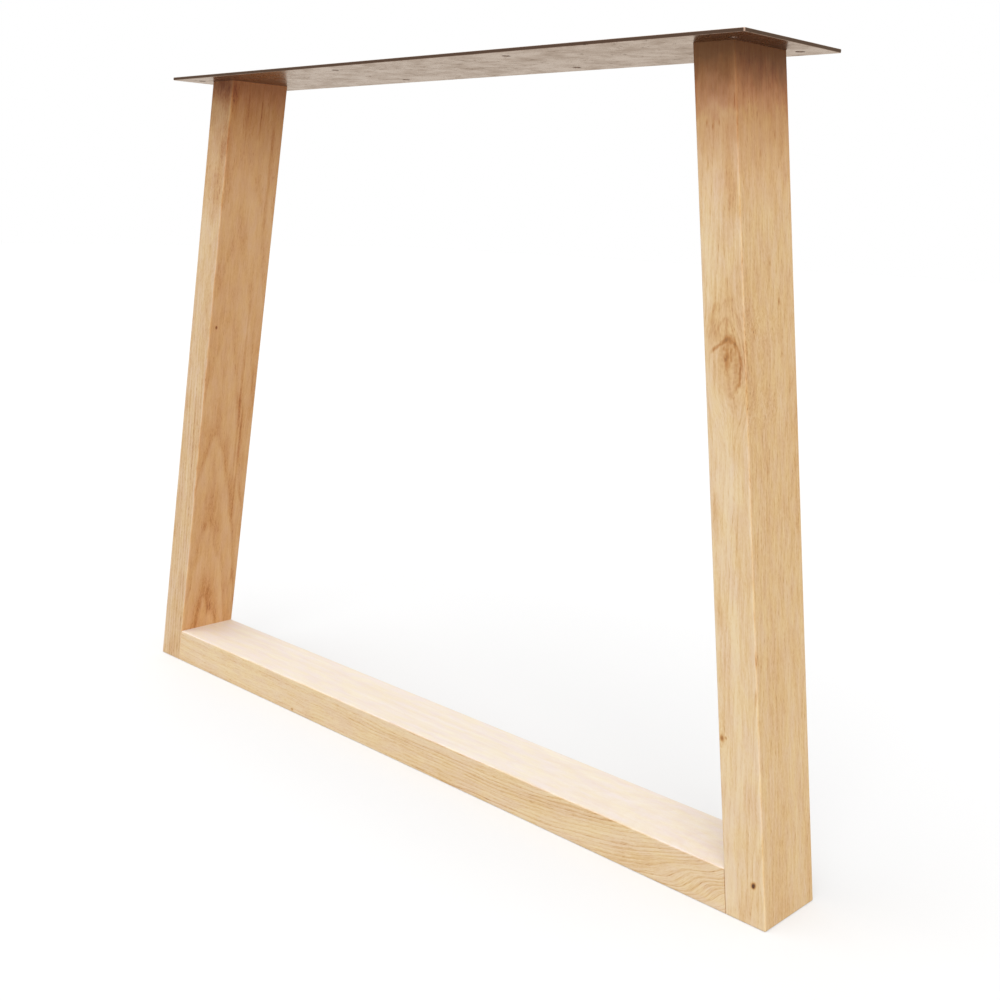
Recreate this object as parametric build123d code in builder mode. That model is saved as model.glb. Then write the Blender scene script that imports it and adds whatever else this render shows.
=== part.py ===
from build123d import *
import math
import os

# An oak table leg that stands as a frame: two posts that lean inwards to the top, a bottom rail
# between their feet, and a steel plate across the top. The table top lies on the plate and is
# screwed to it from below. All sizes are in millimetres.
# X runs across the leg, Y from front to back, and Z is up. The origin is on the floor, in the
# middle of the leg. The right post is at +X, and the front is at -Y.

# The whole leg
leg_height = 720.0           # floor to the top of the plate
foot_spread = 880.0          # over the posts' outer faces, on the floor
head_spread = 680.0          # over the posts' outer faces, under the plate

# Oak timber
post_width = 38.0            # measured level, across the leg
timber_depth = 80.0          # posts and rail, front to back
rail_height = 40.0
arris_radius = 1.5           # every long edge is eased with sandpaper

# Steel plate
plate_thickness = 3.0
plate_overhang_end = 30.0    # past the posts, at the left and the right
plate_overhang_side = 35.0   # past the posts, at the front and the back
plate_corner_radius = 2.0
plate_edge_break = 0.4       # a file taken round the cut edges

# Holes in the plate for the screws into the table top
top_hole_diameter = 8.0
top_hole_columns = 4
top_hole_inset = 24.0        # hole centre to the plate's edges

# Loose tenons that hold the rail to the posts
tenon_thickness = 10.0
tenon_width = 24.0
tenon_length = 50.0
tenon_spacing = 40.0         # between the two in one joint
glue_gap = 0.1               # round the tenon, on each side
glue_pocket = 1.0            # spare depth at each end of a tenon

# Countersunk screws that hold the plate to the posts
screw_length = 70.0
screw_shank_diameter = 5.0
screw_head_diameter = 10.0
screw_tip_length = 7.0
screw_spacing = 44.0         # between the two in one post
screw_head_sink = 0.2        # the head lies this much below the plate's top
screw_fit_gap = 0.05         # round the head and the shank
screw_tip_gap = 1.0          # below the tip, in the post
screw_hole_clearance = 0.3   # round the shank, in the plate
countersink_angle = 90.0
recess_diameter = 4.5        # over the six lobes of the driver recess
recess_depth = 1.9

# What follows from the sizes above
plate_underside = leg_height - plate_thickness
lean_run = (foot_spread - head_spread) / 2
plate_length = head_spread + 2 * plate_overhang_end
plate_width = timber_depth + 2 * plate_overhang_side
mortise_depth = tenon_length / 2 + glue_pocket
head_slope = math.tan(math.radians(countersink_angle / 2))
head_top = leg_height - screw_head_sink
screw_hole_depth = plate_underside - head_top + screw_length + screw_tip_gap
sides = {"left": -1, "right": 1}
ends = {"front": -1, "back": 1}


def outer_face(height):
    """How far a post's outer face is from the middle of the leg, at one height."""
    return foot_spread / 2 - lean_run * height / plate_underside


def inner_face(height):
    """The same for its inner face."""
    return outer_face(height) - post_width


def joint_plane(side):
    """The plane where rail and post meet. It faces into the post. side is 1 or -1, as in sides."""
    return Plane(
        origin=(side * inner_face(rail_height / 2), 0, rail_height / 2),
        x_dir=(0, 1, 0),
        z_dir=(side * plate_underside, 0, lean_run),
    )


def tenon_place(end):
    """A tenon's middle on its joint plane, whose own X runs to the back. end is as in ends."""
    return (end * tenon_spacing / 2, 0)


def mortise_outlines():
    """Draws the mouths of one joint's two mortises into the sketch that is open on its plane."""
    with Locations(*[tenon_place(end) for end in ends.values()]):
        SlotOverall(tenon_width + 2 * glue_gap, tenon_thickness + 2 * glue_gap)


def screw_place(side, end):
    """Where a screw enters a post, seen from above. end is 1 or -1, as in ends."""
    return (side * (head_spread - post_width) / 2, end * screw_spacing / 2)


os.makedirs("parts", exist_ok=True)

# Posts: the lean is in the front outline, so a level cut is the same at every height. The foot
# stands flat on the floor, and the head is flat under the plate.
for side_name, side in sides.items():
    with BuildPart() as post:
        with BuildSketch(Plane.XZ):
            with BuildLine():
                Polyline(
                    (side * inner_face(0), 0),
                    (side * outer_face(0), 0),
                    (side * outer_face(plate_underside), plate_underside),
                    (side * inner_face(plate_underside), plate_underside),
                    close=True,
                )
            make_face()
        extrude(amount=timber_depth / 2, both=True)
        under_plate = post.edges().group_by(Axis.Z)[-1]
        fillet([edge for edge in post.edges() if edge not in under_plate], radius=arris_radius)

        # Mortises for the loose tenons, square to the leaning face
        with BuildSketch(joint_plane(side)):
            mortise_outlines()
        extrude(amount=mortise_depth, mode=Mode.SUBTRACT)

        # Holes for the screws, down into the end grain
        with BuildSketch(Plane.XY.offset(plate_underside)):
            with Locations(*[screw_place(side, end) for end in ends.values()]):
                Circle(screw_shank_diameter / 2 + screw_fit_gap)
        extrude(amount=-screw_hole_depth, mode=Mode.SUBTRACT)
    post.part.label = f"{side_name}_post"
    export_step(post.part, f"parts/{side_name}_post.step")

# Bottom rail: its ends are cut to the lean, so that they lie flat on the posts
with BuildPart() as rail:
    with BuildSketch(Plane.XZ):
        with BuildLine():
            Polyline(
                (-inner_face(0), 0),
                (inner_face(0), 0),
                (inner_face(rail_height), rail_height),
                (-inner_face(rail_height), rail_height),
                close=True,
            )
        make_face()
    extrude(amount=timber_depth / 2, both=True)
    fillet(rail.edges().filter_by(Axis.X), radius=arris_radius)
    for side in sides.values():
        with BuildSketch(joint_plane(side)):
            mortise_outlines()
        extrude(amount=-mortise_depth, mode=Mode.SUBTRACT)
rail.part.label = "bottom_rail"
export_step(rail.part, "parts/bottom_rail.step")

# Loose tenons: half of each is in the post and half in the rail. Their long edges are round, as
# the cutter leaves the mortise.
for side_name, side in sides.items():
    for end_name, end in ends.items():
        with BuildPart() as tenon:
            with BuildSketch(joint_plane(side)):
                with Locations(tenon_place(end)):
                    SlotOverall(tenon_width, tenon_thickness)
            extrude(amount=tenon_length / 2, both=True)
        tenon.part.label = f"{side_name}_{end_name}_tenon"
        export_step(tenon.part, f"parts/{side_name}_{end_name}_tenon.step")

# Steel plate: cut from sheet, with a row of holes along each long edge for the table top, and
# four countersunk holes over the posts
with BuildPart() as plate:
    with BuildSketch(Plane.XY.offset(plate_underside)):
        RectangleRounded(plate_length, plate_width, plate_corner_radius)
    extrude(amount=plate_thickness)
    chamfer(plate.edges().filter_by(Plane.XY), length=plate_edge_break)
    with Locations(Plane.XY.offset(leg_height)):
        with GridLocations(
            (plate_length - 2 * top_hole_inset) / (top_hole_columns - 1),
            plate_width - 2 * top_hole_inset,
            top_hole_columns,
            2,
        ):
            Hole(top_hole_diameter / 2)
        with Locations(*[screw_place(side, end) for side in sides.values() for end in ends.values()]):
            CounterSinkHole(
                radius=screw_shank_diameter / 2 + screw_hole_clearance,
                counter_sink_radius=screw_head_diameter / 2 + screw_fit_gap + screw_head_sink * head_slope,
                counter_sink_angle=countersink_angle,
            )
plate.part.label = "top_plate"
export_step(plate.part, "parts/top_plate.step")

# Screws: the head's cone seats in the countersink, and a six-lobed recess takes the driver. The
# shank is as wide as the thread's crests, and its tip is a plain cone. Each profile's own Y runs
# up from the top of the head.
cone_height = (screw_head_diameter - screw_shank_diameter) / 2 / head_slope
for side_name, side in sides.items():
    for end_name, end in ends.items():
        head_centre = (*screw_place(side, end), head_top)
        with BuildPart() as screw:
            with BuildSketch(Plane(origin=head_centre, x_dir=(1, 0, 0), z_dir=(0, -1, 0))):
                with BuildLine():
                    Polyline(
                        (0, 0),
                        (screw_head_diameter / 2, 0),
                        (screw_shank_diameter / 2, -cone_height),
                        (screw_shank_diameter / 2, screw_tip_length - screw_length),
                        (0, -screw_length),
                        close=True,
                    )
                make_face()
            revolve(axis=Axis(head_centre, (0, 0, 1)))
            with BuildSketch(Plane(origin=head_centre)):
                Circle(recess_diameter / 2)
                with PolarLocations(recess_diameter / 2, 6):
                    Circle(recess_diameter / 8, mode=Mode.SUBTRACT)
            extrude(amount=-recess_depth, mode=Mode.SUBTRACT)
        screw.part.label = f"{side_name}_{end_name}_screw"
        export_step(screw.part, f"parts/{side_name}_{end_name}_screw.step")
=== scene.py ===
# %% [markdown]
# An oak table leg, dressed for its picture. The leg is a frame: two oak posts that lean in towards
# the top, an oak rail between their feet, and a bare steel plate that the table top is screwed to.
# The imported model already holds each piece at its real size, so nothing here moves or changes one.
# Everything is in metres. X runs across the leg, Y to the back, Z up, and the floor is at zero.

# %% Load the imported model
import math

import bpy
from mathutils import Matrix, Vector


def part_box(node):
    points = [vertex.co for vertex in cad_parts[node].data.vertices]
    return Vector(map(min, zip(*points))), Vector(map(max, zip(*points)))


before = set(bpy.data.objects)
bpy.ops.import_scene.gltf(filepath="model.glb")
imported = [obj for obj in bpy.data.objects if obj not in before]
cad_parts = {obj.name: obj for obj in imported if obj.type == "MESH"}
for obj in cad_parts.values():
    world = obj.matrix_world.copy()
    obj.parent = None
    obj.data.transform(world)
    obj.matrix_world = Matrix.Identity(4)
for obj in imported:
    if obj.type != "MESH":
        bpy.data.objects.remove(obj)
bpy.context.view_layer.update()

bpy.ops.object.select_all(action="DESELECT")
scene = bpy.context.scene
MM = 0.001

# %% [markdown]
# The camera stands to the right in front of the leg, lower than the plate, so that the plate's
# underside shows. It could be aimed with a Track To constraint, but a photographer's camera also
# rolls a little, so its turn is built from three plain rotations: heading, tilt and roll. A lens
# shift stands for the part of the picture that was trimmed away.

# %% Camera
IMAGE_SIZE = 1000                      # pixels, square
OPTICAL_CENTRE = (375, 464)            # the pixel that the lens points at
FOCAL_LENGTH = 1288                    # pixels
SENSOR = 36                            # mm, the sensor's width
camera_place = Vector((0.9129, -0.9586, 0.5750))
camera_heading = math.radians(46.29)   # to the left of straight ahead
camera_tilt = math.radians(11.02)      # down from level
camera_roll = math.radians(1.98)

bpy.ops.object.camera_add(location=camera_place)
camera = bpy.context.object
camera.rotation_euler = (
    Matrix.Rotation(camera_heading, 4, "Z")
    @ Matrix.Rotation(math.pi / 2 - camera_tilt, 4, "X")
    @ Matrix.Rotation(camera_roll, 4, "Z")
).to_euler()
camera.data.sensor_width = SENSOR
camera.data.lens = SENSOR * FOCAL_LENGTH / IMAGE_SIZE
camera.data.shift_x = (IMAGE_SIZE / 2 - OPTICAL_CENTRE[0]) / IMAGE_SIZE
camera.data.shift_y = (OPTICAL_CENTRE[1] - IMAGE_SIZE / 2) / IMAGE_SIZE
scene.camera = camera
scene.view_settings.view_transform = "Standard"
print("lens", round(camera.data.lens, 1), "mm, shift",
      round(camera.data.shift_x, 3), round(camera.data.shift_y, 3))

# %% [markdown]
# Every finish below is a small graph of shader nodes. Such a graph can be wired by hand in the
# shader editor. In a script, one helper that adds a node, sets it and plugs in its inputs keeps
# each finish as short as its recipe. Colours are picked as sRGB hex values, as in a paint program,
# and Blender wants them linear, so another helper turns them.

# %% Colours
WHITE = (1, 1, 1, 1)


def colour(hex_value):
    """An sRGB hex colour as the linear red, green, blue and alpha that a socket wants."""
    parts = [int(hex_value[i:i + 2], 16) / 255 for i in (1, 3, 5)]
    return (*[p / 12.92 if p <= 0.04045 else ((p + 0.055) / 1.055) ** 2.4 for p in parts], 1)


print("straw #E9CCA4 is", [round(part, 3) for part in colour("#E9CCA4")], "to a socket")

# %% Nodes
MIX_A, MIX_B, MIX_RESULT = 6, 7, 2     # the colour sockets of a Mix node, which share their names


def node(tree, kind, inputs=None, out=0, stops=(), **settings):
    """Adds a node and returns one of its outputs. inputs maps a socket's name or number to a value
    or to the output that feeds it, and stops are the places and colours of a colour ramp, from its
    low end up."""
    made = tree.nodes.new("ShaderNode" + kind)
    for name, value in settings.items():
        setattr(made, name, value)
    for socket, value in (inputs or {}).items():
        if isinstance(value, bpy.types.NodeSocket):
            tree.links.new(value, made.inputs[socket])
        else:
            made.inputs[socket].default_value = value
    for i, (place, tint) in enumerate(stops):
        stop = made.color_ramp.elements[i] if i < 2 else made.color_ramp.elements.new(place)
        stop.position, stop.color = place, tint
    return made.outputs[out] if made.outputs else made


def new_material(name):
    """An empty material and its node tree."""
    material = bpy.data.materials.new(name)
    material.use_nodes = True
    material.node_tree.nodes.clear()
    return material, material.node_tree


def wear(pieces, material):
    """Gives pieces of the leg a material in place of the one they were packed with."""
    for name in pieces:
        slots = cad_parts[name].data.materials
        slots.clear()
        slots.append(material)
    print(f"{material.name}: {len(material.node_tree.nodes)} nodes, on", ", ".join(pieces))


# %% [markdown]
# A product photographer stands such a frame on a wide sheet of pale card in a bright white room.
# Here the card is a plane, and the room is the world's plain white. To the camera both look white
# without any lamp being turned up for it: a part of the card's brightness is emission that only
# direct and glossy rays see, so the leg's soft shadow stays on it.

# %% Floor
FLOOR_SIZE = 30                        # metres, wide enough to reach the horizon
FLOOR_ALBEDO = 0.52
FLOOR_GLOW = 0.36                      # added for what is seen directly


def seen_directly(tree):
    """1 for rays from the camera, off gloss and through glass, and 0 for rays that light things."""
    seen = 0
    for ray in ("Is Camera Ray", "Is Glossy Ray", "Is Transmission Ray"):
        seen = node(tree, "Math", {0: node(tree, "LightPath", out=ray), 1: seen},
                    operation="MAXIMUM")
    return seen


bpy.ops.mesh.primitive_plane_add(size=FLOOR_SIZE)
floor = bpy.context.object
floor.name = "paper_floor"
paper, tree = new_material("matt white card")
card = node(tree, "BsdfDiffuse", {"Color": (FLOOR_ALBEDO,) * 3 + (1,)})
glow = node(tree, "Math", {0: seen_directly(tree), 1: FLOOR_GLOW}, operation="MULTIPLY")
glow = node(tree, "Emission", {"Strength": glow})
node(tree, "OutputMaterial", {"Surface": node(tree, "AddShader", {0: card, 1: glow})})
floor.data.materials.append(paper)
print("floor", [round(side) for side in floor.dimensions.xy], "m")

# %% Room
ROOM_LIGHT = 0.56                      # the level that the room lights things with

world = bpy.data.worlds.new("white room")
scene.world = world
world.use_nodes = True
tree = world.node_tree
tree.nodes.clear()
level = node(tree, "MapRange", {"Value": seen_directly(tree), "To Min": ROOM_LIGHT})
background = node(tree, "Background", {"Color": WHITE, "Strength": level})
node(tree, "OutputWorld", {"Surface": background})
print("the room is white to the eye and lights at", ROOM_LIGHT)

# %% [markdown]
# Two large soft boxes do the rest. The one overhead makes the rail's top the palest face and leaves
# the heads of the posts in the plate's shade. The one at the front right lifts the faces that the
# camera sees. An area lamp would light the near floor more than the far floor, and the white would
# show a grey step. A sun lamp with a wide angle is just as soft and even all over, so it is used.

# %% Soft boxes
LAMP_DISTANCE = 3                      # metres. A sun lamp shines the same from anywhere.


def soft_box(name, direction, spread, brightness):
    """A wide sun lamp. direction points from the leg to the lamp, and spread is its width in
    degrees. A matt face turned straight to it shows brightness times its own colour."""
    bpy.ops.object.light_add(type="SUN", location=Vector(direction) * LAMP_DISTANCE)
    lamp = bpy.context.object
    lamp.name = name
    lamp.rotation_euler = Vector(direction).to_track_quat("Z", "Y").to_euler()
    lamp.data.angle = math.radians(spread)
    lamp.data.energy = brightness * math.pi
    print(name, round(lamp.data.energy, 2), "W per square metre")


soft_box("overhead box", (-0.10, -0.25, 1.0), spread=60, brightness=0.60)
soft_box("front box", (0.50, -0.72, 0.45), spread=50, brightness=0.36)

# %% [markdown]
# Oak is a ring-porous wood. Each year it lays down a band of wide pores, which dries to a brown
# line, and then a dense pale band. A board shows how the saw met those rings: straight lines where
# it ran towards the heart of the tree, and nested arches, the cathedrals, where it ran across. An
# image can show that on one face only. A field of rings in space gives every face of the timber its
# own true figure, and they meet at the arrises, so that is what is built here.
#
# First the timber's own coordinates: a along its width, b along its depth, c along the grain.

# %% The timber's coordinates
FOOT_MIDDLE = 0.421                    # from the leg's middle to a post's, on the floor
HEAD_MIDDLE = 0.321                    # the same under the plate
PLATE_UNDERSIDE = 0.717
RAIL_MIDDLE = 0.020                    # above the floor
post_lean = math.atan2(FOOT_MIDDLE - HEAD_MIDDLE, PLATE_UNDERSIDE)
POST_HALF = (0.019 * math.cos(post_lean), 0.040)     # half the width and half the depth
RAIL_HALF = (0.020, 0.040)


def along_the_grain(tree, middle, turn):
    """Object coordinates in a piece of timber's own frame. turn is about Y."""
    place = node(tree, "TexCoord", out="Object")
    return node(tree, "Mapping", {"Vector": place, "Location": middle, "Rotation": (0, turn, 0)},
                vector_type="TEXTURE")


print("the posts lean", round(math.degrees(post_lean), 2), "degrees")

# %% [markdown]
# Wood's lines are never quite alike. A fibre is under a millimetre wide and a few centimetres long,
# and a stripe is about ten times as wide and as long. Noise that is drawn out along the grain gives
# both, and adding a few layers of it gives what the eye takes for wood. A slower noise pushes the
# grain aside, because a tree doesn't grow straight.

# %% Streaks and wandering grain
def layered(tree, start, layers):
    """start plus each layer times its weight."""
    for value, weight in layers:
        start = node(tree, "Math", {0: value, 1: weight, 2: start}, operation="MULTIPLY_ADD")
    return start


def drawn_out(tree, grain, across, along):
    """The grain in units of a streak, whose usual size is given in mm."""
    per_metre = (1 / (across * MM), 1 / (across * MM), 1 / (along * MM))
    return node(tree, "VectorMath", {0: grain, 1: per_metre}, operation="MULTIPLY")


def streaks(tree, grain, across, along, **inputs):
    """Noise drawn out along the grain, from 0 to 1."""
    return node(tree, "TexNoise", {"Vector": drawn_out(tree, grain, across, along), "Scale": 1,
                                   **inputs})


def wander(tree, grain, across, along, amount, lengthwise=0.0):
    """The grain with a slow sideways drift of up to about amount mm, and one along itself."""
    drift = node(tree, "TexNoise", {"Vector": drawn_out(tree, grain, across, along), "Scale": 1,
                                    "Detail": 1}, out="Color")
    drift = node(tree, "VectorMath", {0: drift, 1: (0.5, 0.5, 0.5)}, operation="SUBTRACT")
    reach = (2 * amount * MM, 2 * amount * MM, 2 * lengthwise * MM)
    return node(tree, "VectorMath", {0: drift, 1: reach, 2: grain}, operation="MULTIPLY_ADD")


# %% [markdown]
# Wood fibres flow round a knot as water flows round a stone. To bend them, each point near the knot
# looks up a point that lies closer to the knot's middle, so the lines crowd at its rim. Near a
# thick branch they sweep off to one side, and an exponential curve does that.

# %% Knots and sweeps in the grain
def near(tree, grain, middle, reach, tilt=0.0):
    """Where a point lies from a spot's middle, and how far, 1 at the spot's rim. Sizes in mm."""
    local = node(tree, "Mapping", {"Vector": grain, "Location": [v * MM for v in middle],
                                   "Rotation": (0, tilt, 0), "Scale": [v * MM for v in reach]},
                 vector_type="TEXTURE")
    return local, node(tree, "VectorMath", {0: local}, out="Value", operation="LENGTH")


def bend_round(tree, grain, middle, reach, pull):
    """The grain, pushed aside along its width by a knot."""
    distance = near(tree, grain, middle, reach)[1]
    push = node(tree, "MapRange", {"Value": distance, "From Min": 0.5, "From Max": 3.0,
                                   "To Min": -pull, "To Max": 0},
                interpolation_type="SMOOTHERSTEP")
    offset = node(tree, "VectorMath", {0: grain, 1: [v * MM for v in middle]}, operation="SUBTRACT")
    offset = node(tree, "VectorMath", {0: offset, 1: (1, 0, 0)}, operation="MULTIPLY")
    return node(tree, "VectorMath", {0: offset, 1: node(tree, "CombineXYZ", {0: push}), 2: grain},
                operation="MULTIPLY_ADD")


def swept(tree, grain, start, length, amount):
    """The grain where it sweeps off to one side near a timber's end: amount mm at start, and e
    times more at each further length."""
    along = node(tree, "SeparateXYZ", {0: grain}, out="Z")
    power = layered(tree, -start / length, [(along, 1 / (length * MM))])
    sweep = node(tree, "Math", {0: power}, operation="EXPONENT")
    sweep = node(tree, "Math", {0: sweep, 1: amount * MM}, operation="MULTIPLY")
    return node(tree, "VectorMath", {0: grain, 1: node(tree, "CombineXYZ", {0: sweep})})


def flowing(tree, straight, knots, waviness, sweep):
    """The grain bent round its knots, with a broad drift and a short one of waviness mm."""
    grain = straight
    for knot in knots:
        grain = bend_round(tree, grain, *knot)
    grain = wander(tree, grain, across=60, along=300, amount=3.5)
    grain = wander(tree, grain, across=18, along=60, amount=waviness)
    return swept(tree, grain, *sweep) if sweep else grain


# %% [markdown]
# Now the rings. A point's distance from the tree's heart, counted in ring widths, says which year
# it grew in and in which season. The pores of spring make the dark side of each ring, sharp on its
# inside and fading to the outside, and some years grew darker than others.

# %% Year rings
CURVE_REACH = 5                        # the furthest place that a curve can have a stop at
PORES_BY_SEASON = [(0, 0), (0.8, 1), (2.2, 0.45), (4, 0.08), (5, 0)]     # a year is 5 long here


def curve(tree, value, stops):
    """A value turned into another by a curve of (place, level) stops."""
    value = node(tree, "Math", {0: value, 1: 1 / CURVE_REACH}, operation="MULTIPLY")
    return node(tree, "ValToRGB", {"Fac": value},
                stops=[(place / CURVE_REACH, (level,) * 3 + (1,)) for place, level in stops])


def year_rings(tree, grain, heart, heart_turn, ring_width, peak=0.0, evenness=0.5):
    """How dark the year rings are at a point, from 0 to 1. heart is where the tree's heart passes
    the timber's foot, and heart_turn how it leans away from the timber. peak draws the round arches
    out to a point, as a trunk's taper does, and evenness 1 makes all rings equally dark."""
    from_heart = node(tree, "Mapping", {"Vector": grain, "Location": heart, "Rotation": heart_turn},
                      vector_type="TEXTURE")
    level_only = node(tree, "VectorMath", {0: from_heart, 1: (1, 1, 0)}, operation="MULTIPLY")
    radius = node(tree, "VectorMath", {0: level_only}, out="Value", operation="LENGTH")
    off_centre = node(tree, "VectorMath", {0: level_only}, operation="ABSOLUTE")
    off_centre = node(tree, "SeparateXYZ", {0: off_centre}, out="Y")
    radius = node(tree, "Math", {0: off_centre, 1: peak, 2: radius}, operation="MULTIPLY_ADD")
    count = node(tree, "Math", {0: radius, 1: ring_width * MM}, operation="DIVIDE")
    year = node(tree, "Math", {0: count}, operation="FLOOR")
    season = node(tree, "Math", {0: count, 1: year}, operation="SUBTRACT")
    season = node(tree, "Math", {0: season, 1: CURVE_REACH}, operation="MULTIPLY")
    growth = node(tree, "TexWhiteNoise", {"W": year}, noise_dimensions="1D")
    growth = node(tree, "MapRange", {"Value": growth, "To Min": evenness})
    return node(tree, "Math", {0: curve(tree, season, PORES_BY_SEASON), 1: growth},
                operation="MULTIPLY")


# %% [markdown]
# The figure isn't the same all over a piece of timber. It shows more on one face than on the next,
# and it grows calm round a knot. Along the eased arris a patchy line is painted in: a painted
# highlight on the posts, and on the rail painted shade that dims the lamps' highlight there. So
# these helpers find out where on the timber a point is.

# %% Faces and arrises
CALM_AT_A_KNOT = 0.45                  # what is left of the rings there
LEFT_WHERE_IT_FADES = 0.25             # what is left of them where a board's figure dies away


def close_to(tree, distance, surface, deep, close):
    """0 where a point is deep mm or more below a surface, and 1 from close mm on."""
    return node(tree, "MapRange", {"Value": distance, "From Min": surface - deep * MM,
                                   "From Max": surface - close * MM})


def face_and_arris(tree, straight, half):
    """1 on the a faces and 0 on the b faces, and how much of the eased arris is at a point."""
    sides = node(tree, "VectorMath", {0: straight}, operation="ABSOLUTE")
    on_a = node(tree, "SeparateXYZ", {0: sides}, out="X")
    on_b = node(tree, "SeparateXYZ", {0: sides}, out="Y")
    a_face = close_to(tree, on_a, half[0], deep=1.2, close=0.1)
    near_a = close_to(tree, on_a, half[0], deep=2.4, close=0.9)
    near_b = close_to(tree, on_b, half[1], deep=2.2, close=0.9)
    patchy = streaks(tree, straight, across=30, along=28, Detail=1)
    patchy = node(tree, "MapRange", {"Value": patchy, "From Min": 0.42, "From Max": 0.60})
    arris = node(tree, "Math", {0: near_a, 1: near_b}, operation="MULTIPLY")
    return a_face, node(tree, "Math", {0: arris, 1: patchy}, operation="MULTIPLY")


def by_face(tree, a_face, levels):
    """The first level on the b faces, and the second on the a faces."""
    return node(tree, "MapRange", {"Value": a_face, "To Min": levels[0], "To Max": levels[1]})


def ring_strength(tree, straight, a_face, figure, fades, knots):
    """How strongly the rings show. fades are the places, in metres along the grain, where a
    board's figure starts to die away and where it has."""
    strength = by_face(tree, a_face, figure)
    if fades:
        along = node(tree, "SeparateXYZ", {0: straight}, out="Z")
        fade = node(tree, "MapRange", {"Value": along, "From Min": fades[0], "From Max": fades[1],
                                       "To Min": 1, "To Max": LEFT_WHERE_IT_FADES})
        strength = node(tree, "Math", {0: strength, 1: fade}, operation="MULTIPLY")
    for middle, reach, _ in knots:
        calm = node(tree, "MapRange", {"Value": near(tree, straight, middle, reach)[1],
                                       "From Min": 0.8, "From Max": 2.8, "To Min": CALM_AT_A_KNOT})
        strength = node(tree, "Math", {0: strength, 1: calm}, operation="MULTIPLY")
    return strength


# %% [markdown]
# A knot's rim, its heart and its warm filling, a line of bark and a small mark are all soft spots:
# ellipsoids that fade from the middle outwards. A little noise in where they are and in how far
# they reach keeps them from looking stamped. Some rims are darker on one side, because the fibres
# crowd there.
# Patches of painted shade under the plate are drawn as spots too.

# %% Spots
SPOT_END = 2                           # where every spot has faded out, in its own reaches


def spot(middle, reach, *levels, tilt=0.0, one_side=None):
    """A knot, a mark or a patch of painted shade. middle and reach are in mm. Each of the levels is
    a distance from its middle, 1 at its reach, and how much darker the oak is there. one_side, if
    any, is the way from its middle to the one side that it is drawn on."""
    return middle, reach, (*levels, (SPOT_END, 0)), tilt, one_side


def with_spots(tree, darkness, straight, spots):
    """The darkness with the spots added."""
    loose = wander(tree, straight, across=6, along=12, amount=1.2, lengthwise=1.6)
    wobble = streaks(tree, straight, across=5, along=12, Detail=2)
    for middle, reach, levels, tilt, one_side in spots:
        local, distance = near(tree, loose, middle, reach, tilt)
        distance = layered(tree, -0.20, [(distance, 1.0), (wobble, 0.40)])
        level = curve(tree, distance, levels)
        if one_side:
            shown = node(tree, "VectorMath", {0: local, 1: one_side}, out="Value",
                         operation="DOT_PRODUCT")
            shown = node(tree, "MapRange", {"Value": shown, "From Min": -0.2, "From Max": 0.7})
            level = node(tree, "Math", {0: level, 1: shown}, operation="MULTIPLY")
        darkness = layered(tree, darkness, [(level, 1.0)])
    return darkness


# %% [markdown]
# Oak's colours lie on one line, from cream through straw and honey to brown, so every layer of the
# figure only says how dark it is, and one colour ramp turns the sum into wood. Each board has its
# own tint on top. Under the plate the posts' heads get painted shade. It is darker than the lamps
# make it and warm with the brown light that the plate throws back, and it creeps down in uneven
# tongues, from straw through tan to brown.

# %% Oak's colours
OAK_TONES = [(0.00, colour("#FFF8EA")), (0.26, colour("#F6E5CA")), (0.45, colour("#E9CCA4")),
             (0.66, colour("#C8955F")), (1.00, colour("#54321A"))]
HUE_DRIFT = [(0.35, colour("#FFFDF5")), (0.65, colour("#FDFAFF"))]
# The painted shade under a post's head: its tones from none to full, and where it lies
PLATE_SHADE_TONES = [(0.00, WHITE), (0.25, colour("#FBF3EE")), (0.51, colour("#EAD5C2")),
               (0.61, colour("#E5CDB5")), (0.69, colour("#D9B69F")), (0.77, colour("#C59C80")),
               (0.86, colour("#A77F5C")), (0.94, colour("#93704E"))]
PLATE_SHADE_LOW, PLATE_SHADE_HIGH = 0.58, 0.72     # metres up the post, where it begins and where it is full
PLATE_SHADE_TONGUES = 0.036                  # metres, how unevenly it creeps down


def oak_tint(tree, darkness, straight, a_face, face_tints):
    """The colour of a darkness, times the tint of its face and a slow drift of the hue."""
    tint = node(tree, "ValToRGB", {"Fac": darkness}, stops=OAK_TONES)
    face = node(tree, "Mix", {0: a_face, MIX_A: (*face_tints[0], 1), MIX_B: (*face_tints[1], 1)},
                out=MIX_RESULT, data_type="RGBA")
    hue = streaks(tree, straight, across=9, along=26, Detail=2)
    hue = node(tree, "ValToRGB", {"Fac": hue}, stops=HUE_DRIFT)
    face = node(tree, "Mix", {0: 1.0, MIX_A: face, MIX_B: hue}, out=MIX_RESULT, data_type="RGBA",
                blend_type="MULTIPLY")
    return node(tree, "Mix", {0: 1.0, MIX_A: tint, MIX_B: face}, out=MIX_RESULT, data_type="RGBA",
                blend_type="MULTIPLY")


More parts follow.
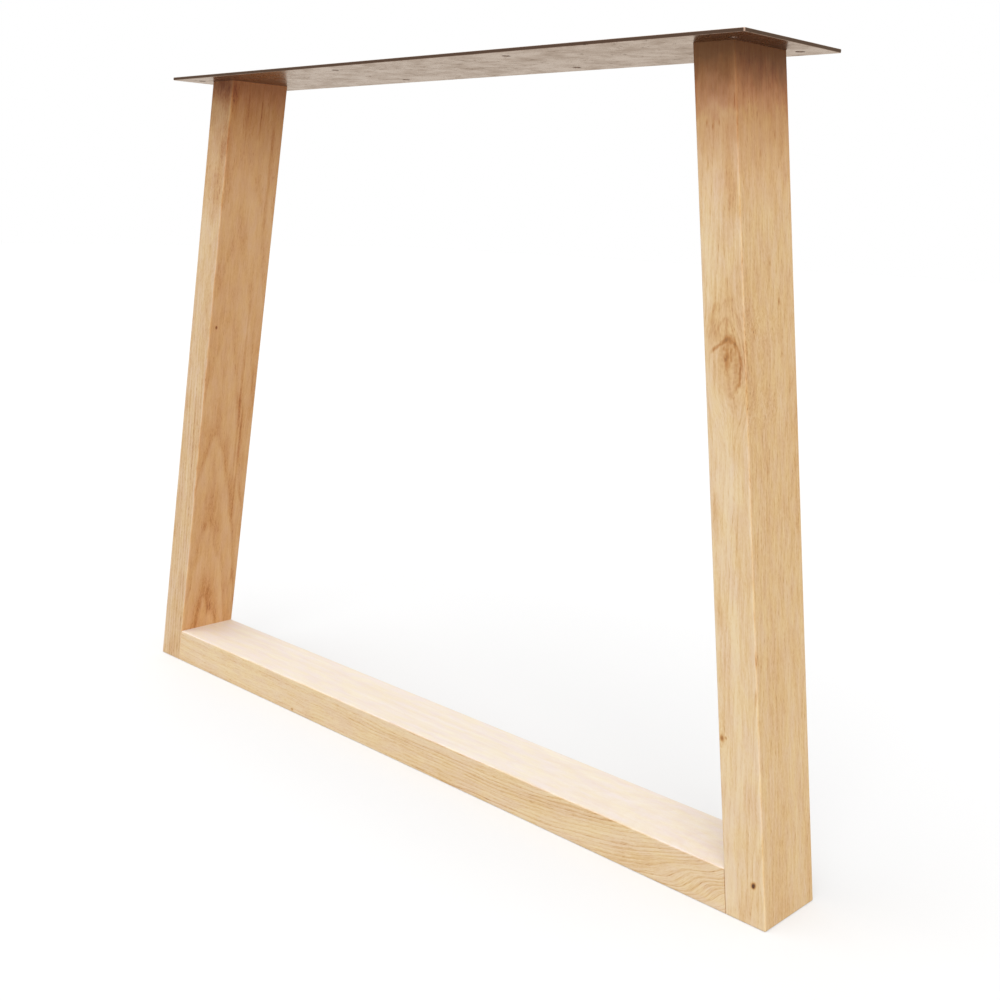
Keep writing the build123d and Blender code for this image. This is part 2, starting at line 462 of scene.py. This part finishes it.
def painted_plate_shade(tree, tint, straight, plate_shade, plate_shade_hue):
    """The colour with painted shade under the plate on it, warm with the plate's brown bounce.
    plate_shade is how far up its tones the painted shade gets, and plate_shade_hue is what its red,
    green and blue are multiplied by."""
    along = node(tree, "SeparateXYZ", {0: straight}, out="Z")
    blotch = streaks(tree, straight, across=9, along=20, Detail=3)
    height = layered(tree, -PLATE_SHADE_TONGUES / 2, [(along, 1.0), (blotch, PLATE_SHADE_TONGUES)])
    height = node(tree, "MapRange", {"Value": height, "From Min": PLATE_SHADE_LOW,
                                     "From Max": PLATE_SHADE_HIGH, "To Max": plate_shade})
    # stain here is the colour of the painted shade under the plate, not a real stain
    stain = node(tree, "ValToRGB", {"Fac": height}, stops=PLATE_SHADE_TONES)
    tint = node(tree, "Mix", {0: 1.0, MIX_A: tint, MIX_B: stain}, out=MIX_RESULT,
                data_type="RGBA", blend_type="MULTIPLY")
    hue = node(tree, "Mix", {0: height, MIX_A: WHITE, MIX_B: (*plate_shade_hue, 1)}, out=MIX_RESULT,
               data_type="RGBA")
    return node(tree, "Mix", {0: 1.0, MIX_A: tint, MIX_B: hue}, out=MIX_RESULT,
                data_type="RGBA", blend_type="MULTIPLY")


print("oak runs from", [round(part, 2) for part in OAK_TONES[0][1][:3]],
      "to", [round(part, 2) for part in OAK_TONES[-1][1][:3]])

# %% [markdown]
# The timber was planed, sanded and given a clear oil. It is satin: the oil fills the fibres but
# not the open pores, which stay as short fine grooves and crowd in the dark side of each ring. One
# function mixes the recipe, and each of the three pieces calls it with its own tones, heart and
# knots, because no two boards are alike.

# %% Oiled oak
PLAIN_OAK = 0.30                       # how dark oak is with no figure, on the ramp of its tones
PORE_DEPTH = 0.12                      # mm
STRIPES = 0.30                         # how much the broad stripes count for


def fibres_and_pores(tree, grain, rings):
    """The fibres and the open pores, from 0 to 1."""
    fibre = streaks(tree, grain, across=0.9, along=26, Detail=3, Roughness=0.65)
    pore = streaks(tree, grain, across=0.5, along=7, Detail=1)
    pore = node(tree, "MapRange", {"Value": pore, "From Min": 0.56, "From Max": 0.74})
    crowding = node(tree, "Math", {0: rings, 1: 0.8, 2: 0.30}, operation="MULTIPLY_ADD")
    return fibre, node(tree, "Math", {0: pore, 1: crowding}, operation="MULTIPLY")


def oiled_oak(name, middle, turn, half, rings, figure, face_tints, figure_fades=None,
              fineness=(1.0, 1.0), broadness=(1.0, 1.0), mottle=0.24, waviness=1.5, sweep=None,
              arris_painted_light=-0.10, knots=(), spots=(), plate_shade=0.0, plate_shade_hue=(1.0, 1.0, 1.0)):
    """A satin oak finish for one piece of timber. middle and turn place it and half is its size, as
    above, and rings says what its year rings are. figure is how strongly they show on the b faces
    and on the a faces, fineness the same for the fibres and broadness for the stripes and clouds.
    mottle is how strong the clouds are, and arris_painted_light how much darker the arris is
    painted:
    below 0 it is a painted highlight along the arris, and above 0 painted shade that dims the lamps'
    highlight there. face_tints are the red, green and blue that the colour of the two faces is
    multiplied by. Each of the knots is a middle, a reach and a pull, and sweep is a start, a length
    and an amount, in mm."""
    material, tree = new_material(name)
    straight = along_the_grain(tree, middle, turn)
    grain = flowing(tree, straight, knots, waviness, sweep)
    rings = year_rings(tree, grain, **rings)
    a_face, arris = face_and_arris(tree, straight, half)

    # The figure. Each start takes off what its layers usually come to, so they darken some places
    # and lighten others.
    strength = ring_strength(tree, straight, a_face, figure, figure_fades, knots)
    lines = node(tree, "Math", {0: rings, 1: strength}, operation="MULTIPLY")
    stripe = streaks(tree, grain, across=7, along=300, Detail=2)
    cloud = streaks(tree, straight, across=45, along=90, Detail=2)
    patch = streaks(tree, grain, across=12, along=34, Detail=2)
    broad = layered(tree, -STRIPES / 2 - mottle,
                    [(stripe, STRIPES), (cloud, mottle), (patch, mottle)])
    broad = node(tree, "Math", {0: broad, 1: by_face(tree, a_face, broadness)},
                 operation="MULTIPLY")
    fibre, pore = fibres_and_pores(tree, grain, rings)
    fleck = streaks(tree, grain, across=0.8, along=3.0, Detail=1)
    fine = layered(tree, -0.32, [(fibre, 0.40), (fleck, 0.18), (pore, 0.24)])
    fine = node(tree, "Math", {0: fine, 1: by_face(tree, a_face, fineness)},
                operation="MULTIPLY")
    # The arris line is painted light: paler as a painted highlight, darker as painted shade
    darkness = layered(tree, PLAIN_OAK,
                       [(lines, 1.0), (broad, 1.0), (fine, 1.0), (arris, arris_painted_light)])
    darkness = with_spots(tree, darkness, straight, spots)

    tint = oak_tint(tree, darkness, straight, a_face, face_tints)
    if plate_shade:
        tint = painted_plate_shade(tree, tint, straight, plate_shade, plate_shade_hue)

    # The surface: a satin oil that is duller on the darker fibres, and grooves where the pores are
    rough = node(tree, "MapRange", {"Value": fibre, "To Min": 0.55, "To Max": 0.75})
    depth = layered(tree, 0.0, [(pore, -1.0), (fibre, -0.4)])
    bump = node(tree, "Bump", {"Strength": 0.35, "Distance": PORE_DEPTH * MM, "Height": depth})
    shader = node(tree, "BsdfPrincipled", {"Base Color": tint, "Roughness": rough, "Normal": bump})
    node(tree, "OutputMaterial", {"Surface": shader})
    return material


# %% [markdown]
# The right post is the one to look at. Its front has a large knot two thirds of the way up, sawn
# through the middle of a branch: a warm filling, a dark rim where the fibres turn round it, and a
# line of the branch's bark. The rest is small: pin knots, short bark lines and honey patches. Each
# is one line here, in the timber's own millimetres, and a darker spot has higher levels.

# %% The right post's knots and marks
DEEP = 40                              # mm, a spot that reaches well into the timber
FRONT = -40                            # mm, where the front faces are
SIDE = 18.8                            # mm, where a post's side faces are
RIGHT = (1.0, 0, 0.1)
UPWARDS = (0.2, 0, 1.0)

right_spots = [
    # The large knot: the honey colour round it, its filling, its rim and its pith
    spot((3, FRONT, 480), (26, DEEP, 80), (0, 0.07), (0.5, 0.06), (1.1, 0)),
    spot((-8, FRONT, 484), (11, DEEP, 24), (0, 0.08), (0.5, 0.07), (1.2, 0)),
    spot((4.5, FRONT, 467), (10.5, DEEP, 25), (0, 0.10), (0.6, 0.10), (0.9, 0.08), (1.1, 0),
         tilt=0.05),
    spot((4.0, FRONT, 466), (11, DEEP, 24.5), (0, 0), (0.78, 0), (0.95, 0.16), (1.10, 0),
         tilt=0.05, one_side=RIGHT),
    spot((2.0, FRONT, 473), (3.0, DEEP, 7), (0, 0.10), (0.6, 0.07), (1.3, 0)),
    spot((2.4, FRONT, 464), (2.0, DEEP, 18), (0, 0.06), (0.6, 0.05), (1.3, 0)),
    spot((3.2, FRONT, 489), (4.0, DEEP, 5), (0, 0.11), (0.6, 0.07), (1.3, 0)),
    # The branch's bark, the fibres above the knot and beside it, and the pale wood below
    spot((-8.8, FRONT, 482.0), (5.5, DEEP, 1.9), (0, 0.26), (0.5, 0.20), (1.3, 0), tilt=-0.62),
    spot((-0.8, FRONT, 487.2), (5.5, DEEP, 1.9), (0, 0.17), (0.5, 0.13), (1.3, 0), tilt=-0.38),
    spot((-9.5, FRONT, 467), (1.5, DEEP, 15), (0, 0.12), (0.5, 0.09), (1.3, 0), tilt=0.03),
    spot((-4.2, FRONT, 497), (1.4, DEEP, 9), (0, 0.11), (0.5, 0.08), (1.3, 0)),
    spot((3.1, FRONT, 498), (1.4, DEEP, 10), (0, 0.12), (0.5, 0.09), (1.3, 0), tilt=0.05),
    spot((-8.2, FRONT, 496), (2.0, DEEP, 8), (0, 0.09), (0.5, 0.07), (1.3, 0)),
    spot((2, FRONT, 469), (13, DEEP, 37), (0, 0), (0.82, 0), (0.96, 0.06), (1.10, -0.06), (1.3, 0),
         one_side=UPWARDS),
    spot((1, FRONT, 469), (17, DEEP, 52), (0, 0), (0.85, 0), (0.98, 0.07), (1.10, -0.07), (1.3, 0),
         one_side=UPWARDS),
    spot((12, FRONT, 496), (1.8, DEEP, 14), (0, -0.12), (0.5, -0.09), (1.2, 0), tilt=-0.30),
    spot((11.5, FRONT, 523), (2.2, DEEP, 19), (0, -0.14), (0.6, -0.10), (1.2, 0), tilt=-0.36),
    spot((11, FRONT, 428), (6, DEEP, 26), (0, -0.14), (0.5, -0.12), (1.2, 0), tilt=0.06),
    # Down the front: honey patches, pin knots and bark lines
    spot((-13, FRONT, 353), (5, DEEP, 14), (0, 0.14), (0.5, 0.10), (1.2, 0)),
    spot((-12, FRONT, 258), (4, DEEP, 20), (0, 0.10), (0.5, 0.08), (1.2, 0)),
    spot((-16, FRONT, 157), (2.8, 6, 4.5), (0, 0.50), (0.4, 0.34), (1.0, 0.08), (1.6, 0)),
    spot((-12, FRONT, 158), (1.2, 6, 2.0), (0, 0.36), (0.5, 0.22), (1.2, 0)),
    spot((9.2, FRONT, 35.4), (2.6, 6, 3.6), (0, 0.84), (0.5, 0.66), (0.95, 0.16), (1.3, 0)),
    spot((8.6, FRONT, 50), (0.9, 6, 14), (0, 0.16), (1, 0), tilt=0.02),
    spot((18.3, FRONT, 226), (1.0, 6, 9), (0, 0.26), (1.2, 0), tilt=0.02),
    spot((17.6, FRONT, 198), (1.0, 6, 8), (0, 0.22), (1.2, 0), tilt=0.02),
    # The upper front: pin marks, and paler and darker clouds
    spot((-8.4, FRONT, 662), (1.3, 6, 3.5), (0, 0.30), (0.5, 0.18), (1.2, 0)),
    spot((-3, FRONT, 658), (1.1, 6, 3.0), (0, 0.24), (0.5, 0.14), (1.2, 0)),
    spot((2.9, FRONT, 661), (1.1, 6, 3.5), (0, 0.26), (0.5, 0.14), (1.2, 0)),
    spot((-8.6, FRONT, 630), (1.2, 6, 6), (0, 0.24), (0.5, 0.14), (1.2, 0)),
    spot((17.2, FRONT, 674), (0.9, 6, 7), (0, 0.28), (0.5, 0.18), (1.2, 0)),
    spot((10, FRONT, 641), (4, 8, 24), (0, -0.10), (0.6, -0.08), (1.2, 0), tilt=0.25),
    spot((-1, FRONT, 610), (7, 8, 20), (0, -0.09), (0.6, -0.07), (1.2, 0), tilt=0.10),
    spot((9, FRONT, 590), (5, 8, 30), (0, 0.05), (0.6, 0.04), (1.2, 0)),
    spot((-6, FRONT, 572), (6, 8, 24), (0, 0.05), (0.6, 0.04), (1.2, 0)),
    spot((-7, FRONT, 650), (9, 8, 22), (0, 0.13), (0.6, 0.10), (1.2, 0)),
    spot((12, FRONT, 612), (6, 8, 26), (0, 0.11), (0.6, 0.08), (1.2, 0), tilt=-0.12),
    spot((0, FRONT, 542), (22, 8, 30), (0, 0.05), (0.6, 0.04), (1.2, 0)),
    spot((-2, FRONT, 505), (17, 8, 24), (0, 0.08), (0.6, 0.06), (1.2, 0)),
    # Pin marks on its side
    spot((SIDE, -10, 666), (6, 1.4, 4.0), (0, 0.26), (0.5, 0.14), (1.2, 0)),
    spot((SIDE, 16.9, 652), (6, 1.6, 4.5), (0, 0.28), (0.5, 0.16), (1.2, 0)),
    spot((SIDE, -7.5, 636), (6, 1.5, 5.0), (0, 0.22), (0.5, 0.12), (1.2, 0)),
    spot((SIDE, 14.6, 517), (6, 2.2, 4.0), (0, 0.30), (0.5, 0.16), (1.2, 0)),
    spot((SIDE, 16.7, 474), (6, 1.8, 3.2), (0, 0.20), (1.2, 0)),
    spot((SIDE, -5.9, 660), (6, 1.9, 5.0), (0, 0.24), (1.2, 0)),
    # On its side, the honey colour of the middle, and painted shade in dark runs under the plate
    spot((SIDE, 0, 470), (8, 60, 200), (0, 0.08), (0.5, 0.07), (1.1, 0)),
    spot((SIDE, -2, 704), (8, 9, 14), (0, 0.30), (0.5, 0.20), (1.2, 0)),
    spot((SIDE, 16, 700), (8, 8, 12), (0, 0.24), (0.5, 0.16), (1.2, 0)),
    spot((SIDE, -24, 706), (8, 12, 9), (0, 0.20), (0.5, 0.12), (1.2, 0)),
]
print("spots on the right post:", len(right_spots))

# %% [markdown]
# The left post and the rail are calmer. The left post shows its inner side, with one pin knot, a
# few long brown streaks and painted shade under the plate at the top. The rail has a small mark and
# a faint honey patch.

# %% The left post's marks and the rail's
left_spots = [
    # The inner side: a pin knot, a mark near the foot, and long brown streaks
    spot((SIDE, -30.2, 440), (6, 1.7, 2.6), (0, 0.62), (0.5, 0.42), (1.2, 0)),
    spot((SIDE, 31.6, 105), (6, 2.5, 12), (0, 0.20), (1.2, 0)),
    spot((SIDE, 17, 350), (6, 2.0, 130), (0, 0.22), (0.6, 0.18), (1.2, 0)),
    spot((SIDE, 22, 270), (6, 1.6, 90), (0, 0.17), (0.6, 0.14), (1.2, 0)),
    spot((SIDE, 26, 620), (6, 2.5, 90), (0, 0.16), (0.6, 0.13), (1.2, 0)),
    # Painted shade under the plate at the head of that side, and honey clouds below
    spot((SIDE, -4, 692), (6, 18, 26), (0, 0.13), (0.6, 0.10), (1.2, 0)),
    spot((SIDE, 5.5, 697), (6, 1.6, 40), (0, 0.20), (0.6, 0.14), (1.2, 0)),
    spot((SIDE, -14, 690), (6, 1.6, 40), (0, 0.16), (0.6, 0.12), (1.2, 0)),
    spot((SIDE, -23, 485), (6, 7, 45), (0, 0.10), (0.6, 0.08), (1.2, 0)),
    spot((SIDE, -8, 540), (6, 9, 70), (0, 0.08), (0.6, 0.06), (1.2, 0)),
    # The front: a mark, and painted shade under the plate at the head
    spot((-7.5, FRONT, 352), (2.6, 6, 14), (0, 0.16), (1.2, 0)),
    spot((0, FRONT, 718), (30, 8, 20), (0, 0.34), (0.5, 0.24), (1.2, 0)),
    spot((SIDE, -33, 703), (6, 4.5, 22), (0, 0.24), (0.5, 0.17), (1.2, 0)),
    spot((0, FRONT, 650), (30, 8, 80), (0, 0.17), (0.6, 0.14), (1.2, 0)),
]
rail_spots = [
    spot((16.3, FRONT, -174), (1.8, 6, 2.4), (0, 0.40), (0.5, 0.28), (1.2, 0)),
    spot((2, FRONT, 300), (7, 10, 40), (0, 0.06), (1.2, 0)),
]
print("spots on the left post:", len(left_spots), "and on the rail:", len(rail_spots))

# %% [markdown]
# Each piece now gets its own board. The right post was sawn nearer to the heart and is quiet. The
# left post was sawn further out, and its inner side has the arches. The rail's lines sweep off to
# one side at its right end and bend round a knot there.

# %% Dress the right post
wear(["right_post"], oiled_oak(
    "oiled oak, right post", (FOOT_MIDDLE, 0, 0), -post_lean, POST_HALF,
    rings=dict(heart=(0.090, 0.060, 0), heart_turn=(0, 0.09, 0), ring_width=3.6, evenness=0.3),
    figure=(0.11, 0.08), fineness=(0.95, 1.7), mottle=0.26, waviness=2.4,
    knots=[((4, FRONT, 465), (11, 30, 25), 0.8), ((-16, FRONT, 157), (3, 12, 9), 0.6)],
    face_tints=((0.823, 0.746, 0.620), (0.857, 0.704, 0.488)),
    # Painted shade under the plate at the head
    spots=right_spots, plate_shade=1.0))

# %% Dress the left post
wear(["left_post"], oiled_oak(
    "oiled oak, left post", (-FOOT_MIDDLE, 0, 0), post_lean, POST_HALF,
    rings=dict(heart=(-0.178, -0.012, 0), heart_turn=(0, -0.047, 0), ring_width=5.4, peak=0.09),
    figure=(0.20, 0.29), figure_fades=(0.30, 0.52), fineness=(1.6, 1.4), mottle=0.30,
    # A stronger painted highlight along the arris
    arris_painted_light=-0.20, face_tints=((0.728, 0.618, 0.490), (0.800, 0.554, 0.335)),
    # Less deep and less orange painted shade under the plate at the head
    spots=left_spots, plate_shade=0.76, plate_shade_hue=(0.99, 1.12, 1.18)))

# %% Dress the rail
wear(["bottom_rail"], oiled_oak(
    "oiled oak, rail", (0, 0, RAIL_MIDDLE), math.pi / 2, RAIL_HALF,
    rings=dict(heart=(0.120, -0.020, 0), heart_turn=(0, 0.04, 0), ring_width=4.0, evenness=0.15),
    figure=(0.28, 0.02), figure_fades=(0.10, -0.20), fineness=(1.2, 0.25), broadness=(1.0, 0.45),
    # Painted shade on the arris, which dims the lamps' highlight there
    mottle=0.12, waviness=2.6, sweep=(200, 120, 16), arris_painted_light=0.06,
    knots=[((7, FRONT, 368), (7, 30, 20), 0.60)],
    # The a faces, the top and the underside, get a paler, bluer tint: a painted sheen on the top
    face_tints=((0.826, 0.762, 0.645), (0.912, 0.988, 1.165)), spots=rail_spots))

# %% [markdown]
# The plate is cold steel as it left the mill, cut from sheet: a warm grey, with faint lines along
# the way it was rolled, light oil and handling stains, and a dark edge where it was cut. Metal
# takes its colour from what it mirrors, so the roughness does most of the work.

# %% Mill steel
STAIN_SCALE = 28                       # oily patches to the metre, so one is about 36 mm wide
SPECK_SIZE = 6                         # mm, the usual size of a dark speck
ROLLED_LINE = (120, 0.9)               # mm, the length and the width of a line from the rollers
CUT_EDGE = (0.25, 0.1)                 # mm in from the outline, where its dark starts and is full


def cut_edge(tree, place, corner):
    """1 on the plate's cut edges, found by how near a point is to the outline."""
    sides = node(tree, "VectorMath", {0: place}, operation="ABSOLUTE")
    sides = node(tree, "VectorMath", {0: sides, 1: (corner.x, corner.y, 0)}, operation="SUBTRACT")
    x = node(tree, "SeparateXYZ", {0: sides}, out="X")
    y = node(tree, "SeparateXYZ", {0: sides}, out="Y")
    nearest = node(tree, "Math", {0: x, 1: y}, operation="MAXIMUM")
    return close_to(tree, nearest, 0, *CUT_EDGE)


def mill_steel(name, corner):
    """A bare steel sheet with rolling lines, stains and dark cut edges."""
    material, tree = new_material(name)
    place = node(tree, "TexCoord", out="Object")
    clean, oily, dark = colour("#A1897A"), colour("#8A7160"), colour("#5A473B")
    stain = node(tree, "TexNoise", {"Vector": place, "Scale": STAIN_SCALE, "Detail": 6,
                                    "Roughness": 0.75})
    stain = node(tree, "MapRange", {"Value": stain, "From Min": 0.42, "From Max": 0.68})
    speck = node(tree, "TexNoise", {"Vector": place, "Scale": 1 / (SPECK_SIZE * MM), "Detail": 3})
    speck = node(tree, "MapRange", {"Value": speck, "From Min": 0.62, "From Max": 0.74,
                                    "To Max": 0.6})
    edge = cut_edge(tree, place, corner)
    tint = node(tree, "Mix", {0: stain, MIX_A: clean, MIX_B: oily}, out=MIX_RESULT,
                data_type="RGBA")
    for cover in (speck, edge):
        tint = node(tree, "Mix", {0: cover, MIX_A: tint, MIX_B: dark}, out=MIX_RESULT,
                    data_type="RGBA")

    rough = node(tree, "MapRange", {"Value": stain, "To Min": 0.24, "To Max": 0.38})
    for cover, duller in ((speck, 0.3), (edge, 0.2)):
        rough = node(tree, "Math", {0: cover, 1: duller, 2: rough}, operation="MULTIPLY_ADD")
    long, wide = (1 / (size * MM) for size in ROLLED_LINE)
    rolled = node(tree, "Mapping", {"Vector": place, "Scale": (long, wide, 1)})
    rolled = node(tree, "TexNoise", {"Vector": rolled, "Scale": 1, "Detail": 2})
    bump = node(tree, "Bump", {"Strength": 0.2, "Distance": 0.05 * MM, "Height": rolled})
    shader = node(tree, "BsdfPrincipled", {"Base Color": tint, "Metallic": 1.0,
                                           "Specular Tint": colour("#F1E9DC"),
                                           "Roughness": rough, "Normal": bump})
    node(tree, "OutputMaterial", {"Surface": shader})
    return material


plate_low, plate_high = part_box("top_plate")
print("the plate measures", [round(side, 4) for side in plate_high - plate_low])
wear(["top_plate"], mill_steel("mill steel", plate_high))

# %% [markdown]
# The loose tenons are pressed beech: pinkish, with short dark ray flecks, and with ribs along them
# that let the glue out of the mortise. The joints hide them, so the finish is short.

# %% Pressed beech
RIB_SPACING = 2.0                      # mm
WAVE_SPEED = 20                        # a wave texture of scale 1 turns by this angle in one unit


def pressed_beech(name):
    """Bare beech with ray flecks and pressed ribs along the tenon."""
    material, tree = new_material(name)
    place = node(tree, "TexCoord", out="Object")
    grain = node(tree, "Mapping", {"Vector": place, "Rotation": (0, math.pi / 2, 0)})
    fleck = streaks(tree, grain, across=0.5, along=2.5, Detail=1)
    band = streaks(tree, grain, across=4, along=60, Detail=3)
    darkness = layered(tree, -0.2, [(fleck, 0.8), (band, 0.6)])
    tint = node(tree, "ValToRGB", {"Fac": darkness}, stops=[(0.15, colour("#E2BE96")),
                                                            (0.85, colour("#A87148"))])
    rib_scale = 2 * math.pi / (WAVE_SPEED * RIB_SPACING * MM)
    ribs = node(tree, "TexWave", {"Vector": place, "Scale": rib_scale}, bands_direction="Y")
    bump = node(tree, "Bump", {"Strength": 0.6, "Distance": 0.3 * MM, "Height": ribs})
    rough = node(tree, "MapRange", {"Value": band, "To Min": 0.6, "To Max": 0.8})
    shader = node(tree, "BsdfPrincipled", {"Base Color": tint, "Roughness": rough, "Normal": bump})
    node(tree, "OutputMaterial", {"Surface": shader})
    return material


tenons = [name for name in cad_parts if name.endswith("_tenon")]
wear(tenons, pressed_beech("pressed beech, bare"))

# %% [markdown]
# The screws are zinc plated steel. Only their heads show, sunk in the plate's top: bright, with a
# faint yellow bloom in the plating and fine scratches from the driver and from lying in a box.

# %% Zinc plating
SCRATCH = (6, 0.15, 1)                 # mm, along it, across it and deep


def zinc_plate(name):
    """Bright zinc with a faint yellow bloom and fine scratches."""
    material, tree = new_material(name)
    place = node(tree, "TexCoord", out="Object")
    bloom = node(tree, "TexNoise", {"Vector": place, "Scale": 1 / (3 * MM), "Detail": 3})
    tint = node(tree, "ValToRGB", {"Fac": bloom}, stops=[(0.35, colour("#C9CBCB")),
                                                         (0.70, colour("#C4B890"))])
    scratch = node(tree, "Mapping", {"Vector": place, "Rotation": (0, 0, 0.6),
                                     "Scale": [1 / (size * MM) for size in SCRATCH]})
    scratch = node(tree, "TexNoise", {"Vector": scratch, "Scale": 1, "Detail": 2})
    rough = node(tree, "MapRange", {"Value": scratch, "To Min": 0.22, "To Max": 0.48})
    bump = node(tree, "Bump", {"Strength": 0.2, "Distance": 0.02 * MM, "Height": scratch})
    shader = node(tree, "BsdfPrincipled", {"Base Color": tint, "Metallic": 1.0,
                                           "Roughness": rough, "Normal": bump})
    node(tree, "OutputMaterial", {"Surface": shader})
    return material


screws = [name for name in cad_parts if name.endswith("_screw")]
wear(screws, zinc_plate("bright zinc plating"))
